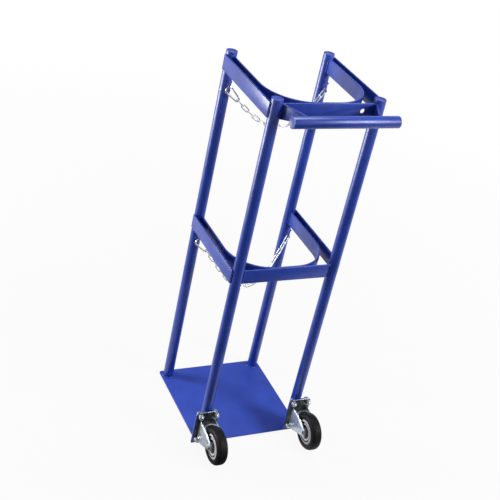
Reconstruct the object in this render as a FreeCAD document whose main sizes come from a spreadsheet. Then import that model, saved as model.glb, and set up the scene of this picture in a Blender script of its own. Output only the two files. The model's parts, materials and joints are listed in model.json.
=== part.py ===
import FreeCAD, Part
import math
import os
import re

import Sketcher

# Gas cylinder trolley: four round posts on a flat base plate, flat bars and bent
# saddle bands round the cylinder bay, a handle and two fixed casters at the rear,
# and two safety chains across the open front.
# Millimetres. +Z is up, +X is right as seen from the handle, -Y is the handle side.
# The origin is the middle of the base plate's underside.

# Driving dimensions: name, value, what it is
sizes = (
    ("base_width", 310, "base plate from left to right"),
    ("base_depth", 300, "base plate from front to rear"),
    ("base_thickness", 4, "base plate sheet"),
    ("base_corner", 4, "bevel of the base plate's corners"),
    ("total_height", 1000, "floor to the tops of the posts"),
    ("clear_width", 240, "free gap between the two front posts"),
    ("post_diameter", 28, "outside of the posts"),
    ("post_wall", 2, "tube wall of posts and handle"),
    ("post_spread", 262, "front post axis to rear post axis"),
    ("cap_sheet", 2, "discs that close the ends of posts and handle"),
    ("seat_gap", 0.05, "radial clearance of parts that are pushed together"),
    ("bar_height", 38, "flat bars and saddle bands"),
    ("bar_thickness", 4, "flat bars and saddle bands"),
    ("upper_drop", 28, "tops of the posts down to the middle of the upper bars"),
    ("lower_level", 526, "middle of the lower bars"),
    ("rear_bar_shift", 5, "rear bars sit this far behind the rear post axes"),
    ("hang_hole_diameter", 12, "round hole in the upper rear bar"),
    ("hang_hole_offset", 89, "hole from the middle of the upper rear bar"),
    ("saddle_corner", 105, "outer bend radius of the saddle bands"),
    ("saddle_half_width", 133, "outer face of a saddle leg from the middle"),
    ("handle_diameter", 28, "outside of the handle tube"),
    ("handle_length", 272, "handle from end to end"),
    ("handle_reach", 86, "handle axis behind the rear post axes"),
    ("handle_rise", 12, "handle axis above the middle of the upper bars"),
    ("arm_thickness", 5, "flat handle arms"),
    ("arm_root_inset", 11, "arm middle inside the rear post axis at the post"),
    ("arm_tip_inset", 48, "arm middle inside the handle's end, at the handle"),
    ("arm_tip_height", 20, "arm height where it meets the handle"),
    ("eye_wire", 4, "rod of the chain eyes"),
    ("eye_height", 22, "eye leg to eye leg, rod middles"),
    ("eye_reach", 20, "rod middle of an eye behind the front post"),
    ("eye_bend", 5, "bend radius of an eye's rod middle"),
    ("upper_eye_drop", 52, "upper eyes below the middle of the upper bars"),
    ("lower_eye_drop", 42, "lower eyes below the middle of the lower bars"),
    ("mount_width", 64, "caster mounting plate across"),
    ("mount_height", 104, "caster mounting plate above the base plate"),
    ("mount_thickness", 5, "caster mounting plate"),
    ("caster_half_track", 138, "middle of a caster from the middle"),
    ("plate_width", 60, "caster plate across"),
    ("plate_height", 94, "caster plate upright"),
    ("plate_thickness", 2.5, "caster plate sheet"),
    ("plate_corner", 6, "bevel of a caster plate's corners"),
    ("plate_level", 61.5, "middle of a caster plate above the floor"),
    ("wheel_diameter", 100, "outside of the tyre"),
    ("tyre_width", 30, "tyre across"),
    ("tyre_depth", 15, "tyre from its tread to its seat on the wheel centre"),
    ("tyre_shoulder", 2, "slope of the tread's edges, across and down"),
    ("axle_reach", 76, "axle behind the mounting plate"),
    ("axle_level", 58, "height of the axle above the floor"),
    ("hub_length", 36, "wheel hub across"),
    ("hub_diameter", 25, "outside of the wheel hub"),
    ("rim_width", 22, "wheel centre's disc across"),
    ("axle_diameter", 10, "axle bolt"),
    ("running_gap", 0.06, "radial clearance of a hub on its axle and a gate on its pin"),
    ("side_gap", 0.5, "hub to fork on each side"),
    ("axle_hex", 16, "across flats of the axle bolt head and nut"),
    ("axle_head", 6.4, "height of the axle bolt head"),
    ("axle_nut_height", 8.4, "height of the axle nut"),
    ("axle_tail", 2, "axle bolt end beyond its nut"),
    ("fork_sheet", 3, "fork sheet"),
    ("fork_end_radius", 16, "blunt end of a fork leg round its axle"),
    ("fork_root_top", 26, "top of the fork above the axle, at the plate"),
    ("fork_root_low", 26, "bottom of the fork below the axle, at the plate"),
    ("fork_belly", 38, "lowest point of a fork leg below the axle"),
    ("fork_belly_reach", 13, "lowest point of a fork leg behind the plate"),
    ("hood_reach", 31, "fork hood behind the plate"),
    ("hood_drop", 1, "fall of the hood from the plate to its lip"),
    ("hood_notch", 20, "radius of the tyre notch in the hood's lip"),
    ("link_wire", 3, "chain wire"),
    ("link_width", 12, "outside of a link across"),
    ("link_inside", 23, "inside of a link from end to end"),
    ("link_play", 0.95, "free gap between two links' wires"),
    ("upper_links", 14, "links of the upper chain, an even count"),
    ("lower_links", 18, "links of the lower chain, an even count"),
    ("upper_skew", 0.36, "share by which the upper chain's sag leans to the right"),
    ("lower_skew", 0.6, "share by which the lower chain's sag leans to the right"),
    ("hook_wire", 4.5, "snap hook wire"),
    ("hook_length", 54, "snap hook from end to end"),
    ("hook_wide", 9, "bend radius of the wide end's wire middle"),
    ("hook_narrow", 5, "bend radius of the narrow end's wire middle"),
    ("hook_nose", 7, "straight nose before the gate"),
    ("hook_heel", 1.5, "straight heel behind the gate"),
    ("gate_width", 3.6, "snap hook gate across"),
    ("gate_thickness", 2, "snap hook gate strip"),
    ("gate_pin_diameter", 1.6, "pin of the gate"),
    ("gate_gap", 0.4, "free gap at the gate's ends"),
    ("cheek", 1, "thickness of the ears that hold the gate pin"),
    ("cheek_gap", 0.15, "free gap between the gate and each ear"),
)

doc = FreeCAD.newDocument("GasCylinderTrolley")
sheet = doc.addObject("Spreadsheet::Sheet", "Sizes")
for row, (name, value, note) in enumerate(sizes, 1):
    sheet.set("A%d" % row, note)
    sheet.set("B%d" % row, str(value))
    sheet.setAlias("B%d" % row, name)
doc.recompute()

aliases = {name for name, value, note in sizes}
vector = FreeCAD.Vector
least_cut = 0.1  # cubic millimetres
rod_sides = 6  # flats round the rod of links, eyes and hooks
eye_corners, link_corners = 2, 4  # mitred corners in an eye's bend and in a link's end
wide_corners, narrow_corners = 6, 5  # mitred corners in the two ends of a snap hook
ear_corners, leg_corners = 4, 6  # corners of the blunt ends of a gate, its ears and the fork legs
solids = []


def bound(text):
    """The expression with each dimension's name pointing at its cell."""
    return re.sub(r"[a-z_]+", lambda word: "Sizes." + word[0] if word[0] in aliases else word[0], text)


def number(text):
    """The value that an expression has now."""
    return float(sheet.evalExpression(bound(text)))


def tie(thing, prop, text):
    """Bind a property to an expression of the driving dimensions."""
    thing.setExpression(prop, bound(text))


# Places that several pieces share
post_x = "(clear_width / 2 + post_diameter / 2)"
post_y = "(post_spread / 2)"
bar_x = "(clear_width / 2 + post_diameter)"
bar_level = {"upper": "(total_height - upper_drop)", "lower": "lower_level"}
eye_level = {level: f"({bar_level[level]} - {level}_eye_drop)" for level in bar_level}
handle_level = f"({bar_level['upper']} + handle_rise)"
rear_bar_front = "(post_spread / 2 + rear_bar_shift - bar_thickness / 2)"
mount_back = "(post_spread / 2 + post_diameter / 2 + mount_thickness)"
axle_y = f"({mount_back} + axle_reach)"
fork_gap = "(hub_length + 2 * side_gap)"
fork_width = f"({fork_gap} + 2 * fork_sheet)"
rim_radius = "(wheel_diameter / 2 - tyre_depth)"
hang_y = "(post_spread / 2 - post_diameter / 2 - (eye_reach - eye_bend) / 2)"


# Helpers for bodies, sketches and features
def new_body(label, place=()):
    """A body; a place given as three expressions drives its position."""
    body = doc.addObject("PartDesign::Body", label)
    body.Label = label
    body.AllowCompound = True
    for axis, text in zip("xyz", place):
        tie(body, "Placement.Base." + axis, text)
    return body


def origin_plane(body, plane):
    return [part for part in body.Origin.OriginFeatures if part.Role == plane][0]


def new_sketch(body, name, plane, offset="0"):
    sketch = body.newObject("Sketcher::SketchObject", name)
    sketch.AttachmentSupport = [(origin_plane(body, plane), "")]
    sketch.MapMode = "FlatFace"
    tie(sketch, "AttachmentOffset.Base.z", offset)
    return sketch


def hold(sketch, geometry, point, x, y):
    """Pin one point of a sketch to two expressions."""
    for kind, text, axis in (("DistanceX", x, -2), ("DistanceY", y, -1)):
        if text == "0":
            sketch.addConstraint(Sketcher.Constraint("PointOnObject", geometry, point, axis))
            continue
        index = sketch.addConstraint(Sketcher.Constraint(kind, -1, 1, geometry, point, number(text)))
        tie(sketch, "Constraints[%d]" % index, text)


def arc_between(start, end, centre, turns_left):
    """The arc about a centre from one point to another."""
    radius = (start - centre).Length
    first, last = (start, end) if turns_left else (end, start)
    angles = [math.atan2(p.y - centre.y, p.x - centre.x) for p in (first, last)]
    if angles[1] < angles[0]:
        angles[1] += 2 * math.pi
    circle = Part.Circle(centre, vector(0, 0, 1), radius)
    return Part.ArcOfCircle(circle, angles[0], angles[1])


def draw(sketch, corners, closed=True):
    """An outline. A corner is (x, y), or (x, y, centre x, centre y, turns left) to arrive on an arc."""
    points = [vector(number(c[0]), number(c[1]), 0) for c in corners]
    first_end, last_end = [], []
    count = len(corners)
    for index in range(0 if closed else 1, count):
        start, end, corner = points[index - 1], points[index], corners[index]
        if len(corner) == 2:
            geometry = sketch.addGeometry(Part.LineSegment(start, end), False)
            ends = (1, 2)
        else:
            centre = vector(number(corner[2]), number(corner[3]), 0)
            arc = arc_between(start, end, centre, corner[4])
            geometry = sketch.addGeometry(arc, False)
            ends = (1, 2) if corner[4] else (2, 1)
        first_end.append((geometry, ends[0]))
        last_end.append((geometry, ends[1]))
    runs = len(first_end)
    for index in range(runs if closed else runs - 1):
        after = first_end[(index + 1) % runs]
        sketch.addConstraint(Sketcher.Constraint("Coincident", *last_end[index], *after))
    for index, (geometry, point) in enumerate(last_end):
        corner = corners[index if closed else index + 1]
        hold(sketch, geometry, point, corner[0], corner[1])
        if len(corner) > 2:
            hold_centre(sketch, geometry, corner, points[index - 1 if closed else index])
    if not closed:
        hold(sketch, *first_end[0], corners[0][0], corners[0][1])


def hold_centre(sketch, geometry, corner, start):
    """An arc with both ends held has one freedom left: its centre along the bisector."""
    run = vector(number(corner[0]), number(corner[1]), 0) - start
    upright = abs(run.y) > abs(run.x)
    kind, text, axis = ("DistanceX", corner[2], -2) if upright else ("DistanceY", corner[3], -1)
    if text == "0":
        sketch.addConstraint(Sketcher.Constraint("PointOnObject", geometry, 3, axis))
        return
    index = sketch.addConstraint(Sketcher.Constraint(kind, -1, 1, geometry, 3, number(text)))
    tie(sketch, "Constraints[%d]" % index, text)


def rectangle(sketch, left, right, low, high):
    draw(sketch, [(left, low), (right, low), (right, high), (left, high)])


def ring(sketch, diameter, x="0", y="0"):
    """One circle with its centre and diameter held."""
    place = vector(number(x), number(y), 0)
    circle = Part.Circle(place, vector(0, 0, 1), number(diameter) / 2)
    geometry = sketch.addGeometry(circle, False)
    hold(sketch, geometry, 3, x, y)
    index = sketch.addConstraint(Sketcher.Constraint("Diameter", geometry, number(diameter)))
    tie(sketch, "Constraints[%d]" % index, diameter)


def polygon(sketch, sides, flats, x="0", y="0"):
    """A regular polygon of that size across its flats, with one flat facing right."""
    radius = f"({flats}) / 2 / cos(180 deg / {sides})"
    angles = [f"({360 * step + 180} deg / {sides})" for step in range(sides)]
    draw(sketch, [(f"{x} + {radius} * cos({a})", f"{y} + {radius} * sin({a})") for a in angles])


def bend(x, y, radius, start, turn, corners):
    """Corners of a bend in a rod: straight runs that touch the arc from outside."""
    reach = f"{radius} / cos({turn} / {2 * corners})"
    angles = [f"({start} + {turn} * {2 * step + 1} / {2 * corners})" for step in range(corners)]
    return [(f"{x} + {reach} * cos({a})", f"{y} + {reach} * sin({a})") for a in angles]


def bent_rod(body, route, section):
    """Sweep a section along a route of straight runs with mitred corners."""
    feature = body.newObject("PartDesign::AdditivePipe", route.Name + "_rod")
    feature.Profile = section
    feature.Spine = route
    feature.Transition = "Right corner"
    return feature


def pad(body, sketch, length, reverse=False):
    feature = body.newObject("PartDesign::Pad", sketch.Name + "_pad")
    feature.Profile = sketch
    feature.Reversed = reverse
    tie(feature, "Length", length)
    return feature


def pocket(body, sketch, length, reverse=False):
    """Cut a sketch through the body, and make sure that it takes something away."""
    doc.recompute()
    before = body.Shape.Volume
    feature = body.newObject("PartDesign::Pocket", sketch.Name + "_pocket")
    feature.Profile = sketch
    feature.Reversed = reverse
    tie(feature, "Length", length)
    doc.recompute()
    if before - body.Shape.Volume < least_cut:
        raise ValueError("nothing is cut by " + sketch.Name)
    return feature


def revolve(body, sketch):
    """Turn a half section about the sketch's level axis."""
    feature = body.newObject("PartDesign::Revolution", sketch.Name + "_turned")
    feature.Profile = sketch
    feature.ReferenceAxis = (sketch, ["H_Axis"])
    feature.Angle = 360
    return feature


def bevel_edges(body, base, size, direction):
    """Bevel the edges of a feature that run in one direction."""
    doc.recompute()
    names = []
    for index, edge in enumerate(base.Shape.Edges, 1):
        if edge.tangentAt(edge.FirstParameter).cross(direction).Length < 0.1:
            names.append("Edge%d" % index)
    feature = body.newObject("PartDesign::Chamfer", base.Name + "_bevelled")
    feature.Base = (base, names)
    tie(feature, "Size", size)
    return feature


def keep(thing):
    solids.append(thing)
    return thing


# Base plate
def base_plate():
    body = new_body("base_plate")
    outline = new_sketch(body, "base_outline", "XY_Plane")
    rectangle(outline, "-base_width / 2", "base_width / 2", "-base_depth / 2", "base_depth / 2")
    sheet_pad = pad(body, outline, "base_thickness")
    bevel_edges(body, sheet_pad, "base_corner", vector(0, 0, 1))
    keep(body)


# Round tubes, closed with welded discs
def closed_tube(body, name, plane, length, diameter, ends):
    """A tube from the plane onwards; ends are the starts of the discs inside it."""
    section = new_sketch(body, name, plane)
    ring(section, diameter)
    ring(section, f"{diameter} - 2 * post_wall")
    pad(body, section, length)
    for index, start in enumerate(ends):
        disc = new_sketch(body, f"{name}_disc_{index}", plane, start)
        ring(disc, f"{diameter} - 2 * post_wall")
        pad(body, disc, "cap_sheet")
    keep(body)


def posts():
    length = "total_height - base_thickness"
    for end, y in (("front", post_y), ("rear", f"-{post_y}")):
        for side, x in (("left", f"-{post_x}"), ("right", post_x)):
            body = new_body(f"{end}_post_{side}", (x, y, "base_thickness"))
            name = f"{end}_{side}_section"
            closed_tube(body, name, "XY_Plane", length, "post_diameter", [f"{length} - cap_sheet"])


# Flat bars welded to the posts
def bars():
    for level in ("upper", "lower"):
        low = f"{bar_level[level]} - bar_height / 2"
        for side, x in (("left", f"-{bar_x} - bar_thickness"), ("right", bar_x)):
            bar = new_body(f"{level}_side_bar_{side}", (x, "0", low))
            outline = new_sketch(bar, f"{level}_{side}_bar_outline", "XY_Plane")
            rectangle(outline, "0", "bar_thickness", f"-{post_y}", post_y)
            pad(bar, outline, "bar_height")
            keep(bar)
        rear_bar(level, low)


def rear_bar(level, low):
    """A flat bar between the rear posts, with its ends cut to the round of the tubes."""
    bar = new_body(f"{level}_rear_bar", ("0", f"-{rear_bar_front}", low))
    outline = new_sketch(bar, f"{level}_rear_outline", "XY_Plane")
    rectangle(outline, f"-{post_x}", post_x, "-bar_thickness", "0")
    pad(bar, outline, "bar_height")
    for side, x in (("left", f"-{post_x}"), ("right", post_x)):
        round_end = new_sketch(bar, f"{level}_rear_end_{side}", "XY_Plane")
        ring(round_end, "post_diameter + 2 * seat_gap", x, f"{rear_bar_front} - {post_y}")
        pocket(bar, round_end, "bar_height", True)
    if level == "upper":
        hole = new_sketch(bar, "hang_hole", "XZ_Plane")
        ring(hole, "hang_hole_diameter", "hang_hole_offset", "bar_height / 2")
        pocket(bar, hole, "bar_thickness", True)
    keep(bar)


# Saddle bands: flat steel bent round the cylinder, from front post to front post
def saddles():
    front = f"({post_y} - post_diameter / 2)"
    bend_x = "(saddle_half_width - saddle_corner)"
    bend_y = f"(saddle_corner - {rear_bar_front})"
    inner_x = "(saddle_half_width - bar_thickness)"
    inner_y = f"(bar_thickness - {rear_bar_front})"
    for level in ("upper", "lower"):
        band = new_body(f"{level}_saddle", ("0", "0", f"{bar_level[level]} - bar_height / 2"))
        outline = new_sketch(band, f"{level}_saddle_outline", "XY_Plane")
        draw(outline, [
            ("-saddle_half_width", front),
            ("-saddle_half_width", bend_y),
            (f"-{bend_x}", f"-{rear_bar_front}", f"-{bend_x}", bend_y, True),
            (bend_x, f"-{rear_bar_front}"),
            ("saddle_half_width", bend_y, bend_x, bend_y, True),
            ("saddle_half_width", front),
            (inner_x, front),
            (inner_x, bend_y),
            (bend_x, inner_y, bend_x, bend_y, False),
            (f"-{bend_x}", inner_y),
            (f"-{inner_x}", bend_y, f"-{bend_x}", bend_y, False),
            (f"-{inner_x}", front),
        ])
        pad(band, outline, "bar_height")
        keep(band)


# Handle
def handle():
    handle_y = f"-{post_y} - handle_reach"
    grip = new_body("handle_tube", ("-handle_length / 2", handle_y, handle_level))
    ends = ["0", "handle_length - cap_sheet"]
    closed_tube(grip, "handle_section", "YZ_Plane", "handle_length", "handle_diameter", ends)
    for side, sign in (("left", "-"), ("right", "")):
        handle_arm(side, sign, handle_y)


def handle_arm(side, sign, handle_y):
    """A flat upright strip from a rear post in to the handle, fitted to both tubes."""
    arm = new_body(f"handle_arm_{side}")
    low = f"{bar_level['upper']} - bar_height / 2"
    high = f"{bar_level['upper']} + bar_height / 2"
    root = f"{post_x} - arm_root_inset"
    tip = "handle_length / 2 - arm_tip_inset"
    half = "arm_thickness / 2"
    end = f"{handle_y} + handle_diameter / 4"
    start = f"-{rear_bar_front} - bar_thickness"
    plan = new_sketch(arm, f"arm_plan_{side}", "XY_Plane", low)
    draw(plan, [
        (f"{sign}({root} - {half})", start),
        (f"{sign}({root} + {half})", start),
        (f"{sign}({tip} + {half})", end),
        (f"{sign}({tip} - {half})", end),
    ])
    pad(arm, plan, "bar_height")
    taper = new_sketch(arm, f"arm_taper_{side}", "YZ_Plane")
    edges = (
        (low, f"{handle_level} - arm_tip_height / 2", f"{low} - bar_height"),
        (high, f"{handle_level} + arm_tip_height / 2", f"{high} + bar_height"),
    )
    for at_post, at_grip, beyond in edges:
        draw(taper, [(start, beyond), (start, at_post), (end, at_grip), (end, beyond)])
    pocket(arm, taper, "base_width", side == "right")
    post_round = new_sketch(arm, f"arm_post_round_{side}", "XY_Plane", low)
    ring(post_round, "post_diameter + 2 * seat_gap", f"{sign}{post_x}", f"-{post_y}")
    pocket(arm, post_round, "bar_height", True)
    grip_round = new_sketch(arm, f"arm_grip_round_{side}", "YZ_Plane")
    ring(grip_round, "handle_diameter + 2 * seat_gap", handle_y, handle_level)
    pocket(arm, grip_round, "base_width", side == "right")
    keep(arm)


# Chain eyes: rod staples on the rear of the front posts
def chain_eyes():
    surface = f"({post_y} - post_diameter / 2)"
    half = "(eye_height / 2)"
    centre = f"({surface} - eye_reach + eye_bend)"
    turn = f"({half} - eye_bend)"
    for level in ("upper", "lower"):
        for side, x in (("left", f"-{post_x}"), ("right", post_x)):
            eye = new_body(f"{level}_chain_eye_{side}", (x, "0", eye_level[level]))
            route = new_sketch(eye, f"{level}_eye_route_{side}", "YZ_Plane")
            corners = [(surface, half)]
            corners += bend(centre, turn, "eye_bend", "90 deg", "90 deg", eye_corners)
            corners += bend(centre, f"-{turn}", "eye_bend", "180 deg", "90 deg", eye_corners)
            corners += [(surface, f"-{half}")]
            draw(route, corners, closed=False)
            section = new_sketch(eye, f"{level}_eye_section_{side}", "XZ_Plane", f"-{surface}")
            polygon(section, rod_sides, "eye_wire", "0", half)
            bent_rod(eye, route, section)
            keep(eye)


# Caster parts come in pairs, left and right, as one group of two separate solids each
def pair(place="0"):
    """A place across one caster, set out for the left and the right one."""
    return [f"-caster_half_track + {place}", f"caster_half_track + {place}"]


def caster_mounts():
    """Upright plates welded on behind the rear posts."""
    mounts = new_body("caster_mounts", ("0", f"-{mount_back}", "0"))
    outline = new_sketch(mounts, "mount_outline", "XZ_Plane")
    top = "base_thickness + mount_height"
    for left, right in zip(pair("(-mount_width / 2)"), pair("mount_width / 2")):
        rectangle(outline, left, right, "base_thickness", top)
    pad(mounts, outline, "mount_thickness", True)
    keep(mounts)


def caster_plates():
    plates = new_body("caster_plates", ("0", f"-{mount_back}", "0"))
    outline = new_sketch(plates, "plate_outline", "XZ_Plane")
    low, high = "plate_level - plate_height / 2", "plate_level + plate_height / 2"
    for left, right in zip(pair("(-plate_width / 2)"), pair("plate_width / 2")):
        rectangle(outline, left, right, low, high)
    flat = pad(plates, outline, "plate_thickness")
    bevel_edges(plates, flat, "plate_corner", vector(0, 1, 0))
    keep(plates)


def caster_forks():
    """Pressed forks: back web on the plate, two tapered legs, and a hood over the tyre."""
    forks = new_body("caster_forks", ("0", f"-{mount_back} - plate_thickness", "axle_level"))
    axle = "(axle_reach - plate_thickness)"
    lip = "fork_root_top - hood_drop"
    past = f"(-{axle} - 2 * fork_end_radius)"
    for side, middle in zip(("left", "right"), pair()):
        profile = new_sketch(forks, f"fork_profile_{side}", "YZ_Plane", f"{middle} - {fork_width} / 2")
        draw(profile, [
            ("0", "fork_root_top"),
            ("-hood_reach", lip),
            *bend(f"-{axle}", "0", "fork_end_radius", "90 deg", "180 deg", leg_corners),
            ("-fork_belly_reach", "-fork_belly"),
            ("0", "-fork_root_low"),
        ])
        pad(forks, profile, fork_width)
        inside = new_sketch(forks, f"fork_inside_{side}", "YZ_Plane", f"{middle} + {fork_gap} / 2")
        draw(inside, [
            ("-fork_sheet", "fork_root_top - fork_sheet"),
            ("-fork_sheet", "-2 * fork_belly"),
            (past, "-2 * fork_belly"),
            (past, "2 * fork_root_top"),
            ("-hood_reach", "2 * fork_root_top"),
            ("-hood_reach", f"{lip} - fork_sheet"),
        ])
        pocket(forks, inside, fork_gap)
    hood = new_sketch(forks, "fork_hood_notches", "XY_Plane", "2 * fork_root_top")
    for middle in pair():
        ring(hood, "2 * hood_notch", middle, "-hood_reach - hood_notch / 2")
    pocket(forks, hood, "2 * fork_root_top")
    bore = new_sketch(forks, "fork_axle_holes", "YZ_Plane", f"caster_half_track + {fork_width} / 2")
    ring(bore, "axle_diameter + 2 * seat_gap", f"-{axle}", "0")
    pocket(forks, bore, f"2 * caster_half_track + {fork_width}")
    keep(forks)


def axles():
    """Axle bolts and nuts along X."""
    place = ("0", f"-{axle_y}", "axle_level")
    outer = f"({fork_width} / 2)"
    bolts, nuts = new_body("axle_bolts", place), new_body("axle_nuts", place)
    for side, middle in zip(("left", "right"), pair()):
        head = new_sketch(bolts, f"axle_head_{side}", "YZ_Plane", f"{middle} - {outer} - axle_head")
        polygon(head, 6, "axle_hex")
        pad(bolts, head, "axle_head")
        shank = new_sketch(bolts, f"axle_shank_{side}", "YZ_Plane", f"{middle} - {outer}")
        ring(shank, "axle_diameter")
        pad(bolts, shank, f"{fork_width} + axle_nut_height + axle_tail")
        block = new_sketch(nuts, f"axle_nut_block_{side}", "YZ_Plane", f"{middle} + {outer}")
        polygon(block, 6, "axle_hex")
        ring(block, "axle_diameter + 2 * seat_gap")
        pad(nuts, block, "axle_nut_height")
    keep(bolts)
    keep(nuts)


# Wheels, each turned about its own X axis
def wheel(side, x):
    place = (x, f"-{axle_y}", "axle_level")
    centre = new_body(f"wheel_centre_{side}", place)
    section = new_sketch(centre, f"wheel_section_{side}", "XY_Plane")
    half = [
        ("hub_length / 2", "axle_diameter / 2 + running_gap"),
        ("hub_length / 2", "hub_diameter / 2"),
        ("rim_width / 2", "hub_diameter / 2"),
        ("rim_width / 2", rim_radius),
    ]
    other = [(f"-({u})", v) for u, v in reversed(half)]
    draw(section, half + other)
    revolve(centre, section)
    keep(centre)
    tyre = new_body(f"tyre_{side}", place)
    cut = new_sketch(tyre, f"tyre_section_{side}", "XY_Plane")
    tread = "wheel_diameter / 2"
    half = [
        ("tyre_width / 2", f"{rim_radius} + seat_gap"),
        ("tyre_width / 2", f"{tread} - tyre_shoulder"),
        ("tyre_width / 2 - tyre_shoulder", tread),
    ]
    other = [(f"-({u})", v) for u, v in reversed(half)]
    draw(cut, half + other)
    revolve(tyre, cut)
    keep(tyre)


def casters():
    caster_mounts()
    caster_plates()
    caster_forks()
    axles()
    wheel("left", "-caster_half_track")
    wheel("right", "caster_half_track")


# Safety chains
def chain_link():
    """One closed link about its own middle, flat in XY and long in X."""
    link = new_body("chain_link")
    radius = "(link_width / 2 - link_wire / 2)"
    centre = f"(link_inside / 2 - {radius} + link_wire / 2)"
    route = new_sketch(link, "link_route", "XY_Plane")
    around = bend(centre, "0", radius, "-90 deg", "180 deg", link_corners)
    draw(route, [("0", f"-{radius}")] + around + [("0", radius)], closed=False)
    section = new_sketch(link, "link_section", "YZ_Plane")
    polygon(section, rod_sides, "link_wire", f"-{radius}", "0")
    half = bent_rod(link, route, section)
    whole = link.newObject("PartDesign::Mirrored", "link_whole")
    whole.Originals = [half]
    whole.MirrorPlane = (origin_plane(link, "YZ_Plane"), [""])
    link.Tip = whole
    doc.recompute()
    return link


def sag_point(share, drop, skew, level):
    """A point of a chain's line: share runs from -1 at the left eye to 1 at the right."""
    height = level - drop * (1 - share * share) * (1 + skew * share)
    return vector(share * number(post_x), number(hang_y), height)


def halve(low, high, below):
    """The value between two bounds where a test turns from true to false."""
    for halving in range(50):
        middle = (low + high) / 2
        if below(middle):
            low = middle
        else:
            high = middle
    return low


def chain_shares(steps, drop, skew, level):
    """The shares where each piece of the chain meets the next, for one drop."""
    shares = [-1.0]
    for step in steps:
        here = sag_point(shares[-1], drop, skew, level)
        shorter = lambda share: (sag_point(share, drop, skew, level) - here).Length < step
        shares.append(halve(shares[-1], shares[-1] + 2, shorter))
    return shares


def along(start, towards, across):
    """A placement at a point, with X towards another point and Z across."""
    x = (towards - start).normalize()
    z = (across - x * across.dot(x)).normalize()
    y = z.cross(x)
    rows = (x.x, y.x, z.x, start.x, x.y, y.y, z.y, start.y, x.z, y.z, z.z, start.z, 0, 0, 0, 1)
    return FreeCAD.Placement(FreeCAD.Matrix(*rows))


def one_chain(level, link):
    """A snap hook on the left eye, then links, the last one on the right eye."""
    hang_level = number(f"{eye_level[level]} - eye_height / 2")
    skew = number(f"{level}_skew")
    play, rod = number("link_play"), number("eye_wire / 2")
    pitch = number("link_inside") - play
    links = round(number(f"{level}_links"))
    steps = [number(hook_inside) - rod - 2 * play] + [pitch] * (links - 1) + [pitch - rod]
    drop = halve(0, sum(steps), lambda trial: chain_shares(steps, trial, skew, hang_level)[-1] > 1)
    shares = chain_shares(steps, drop, skew, hang_level)
    joints = [sag_point(share, drop, skew, hang_level) for share in shares]
    to_rear = vector(0, -1, 0)
    upright = vector(0, 0, 1)
    copies = []
    for index in range(links):
        across = upright if index % 2 == 0 else to_rear
        start, towards = joints[index + 1], joints[index + 2]
        middle = start + (towards - start).normalize() * number("link_inside / 2")
        copies.append(link.Shape.transformed(along(middle, towards, across).Matrix))
    group = doc.addObject("Part::Feature", f"{level}_chain_links")
    group.Label = f"{level}_chain_links"
    group.Shape = Part.makeCompound(copies)
    keep(group)
    direction = (joints[1] - joints[0]).normalize()
    hook_start = joints[0] - direction * (rod + play)
    snap_hook(level, along(hook_start, joints[1], to_rear))
    print(level, "chain drop", round(drop, 1), "axis at", [round(v, 3) for v in joints[0]])


# Snap hooks: the gate side of the wire lies along X, the wide end's bend starts at the origin
hook_inside = "(hook_length - 2 * hook_wire)"
hook_centres = f"({hook_inside} - hook_wide - hook_narrow + hook_wire)"
hook_lean = f"asin((hook_wide - hook_narrow) / {hook_centres})"
hook_straight = f"({hook_centres} * cos({hook_lean}))"
gate_half = "(gate_width / 2)"
gate_pivot = f"({hook_straight} - hook_heel - {gate_half} - gate_gap)"


def snap_hook(level, place):
    """Hook and gate, set so that the hook's own long axis follows the chain."""
    lean = number(hook_lean)
    tilt = FreeCAD.Rotation(vector(0, 0, 1), -lean)
    centre = vector(0, -number("hook_wide"), 0)
    inside_end = tilt.multVec(centre) - vector(number("hook_wide - hook_wire / 2"), 0, 0)
    own = FreeCAD.Placement(inside_end * -1, tilt)
    pieces = (hook_body(level), hook_gate(level))
    for piece in pieces:
        piece.Placement = place.multiply(own)
        keep(piece)
    pivot = pieces[0].Placement.multVec(vector(number(gate_pivot), 0, 0))
    print(level, "gate pivot", [round(v, 3) for v in pivot])


def hook_body(level):
    hook = new_body(f"{level}_snap_hook")
    route = new_sketch(hook, f"{level}_hook_route", "XY_Plane")
    wide_turn = f"(180 deg + 2 * {hook_lean})"
    narrow_start, narrow_turn = f"(270 deg + 2 * {hook_lean})", f"(180 deg - 2 * {hook_lean})"
    corners = [("hook_nose", "0")]
    corners += bend("0", "-hook_wide", "hook_wide", "90 deg", wide_turn, wide_corners)
    corners += bend(hook_straight, "-hook_narrow", "hook_narrow", narrow_start, narrow_turn, narrow_corners)
    corners += [(f"{hook_straight} - hook_heel", "0")]
    draw(route, corners, closed=False)
    section = new_sketch(hook, f"{level}_hook_section", "YZ_Plane", "hook_nose")
    polygon(section, rod_sides, "hook_wire")
    bent_rod(hook, route, section)
    inner = "(gate_thickness / 2 + cheek_gap)"
    for word, offset in (("front", inner), ("rear", f"-{inner} - cheek")):
        ear = new_sketch(hook, f"{level}_hook_ear_{word}", "XY_Plane", offset)
        draw(ear, [
            (hook_straight, f"-{gate_half}"),
            (hook_straight, gate_half),
            *bend(gate_pivot, "0", gate_half, "90 deg", "180 deg", ear_corners),
        ])
        pad(hook, ear, "cheek")
    pin = new_sketch(hook, f"{level}_hook_pin", "XY_Plane", f"-{inner} - cheek / 2")
    ring(pin, "gate_pin_diameter", gate_pivot, "0")
    pad(hook, pin, f"2 * {inner} + cheek")
    return hook


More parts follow.
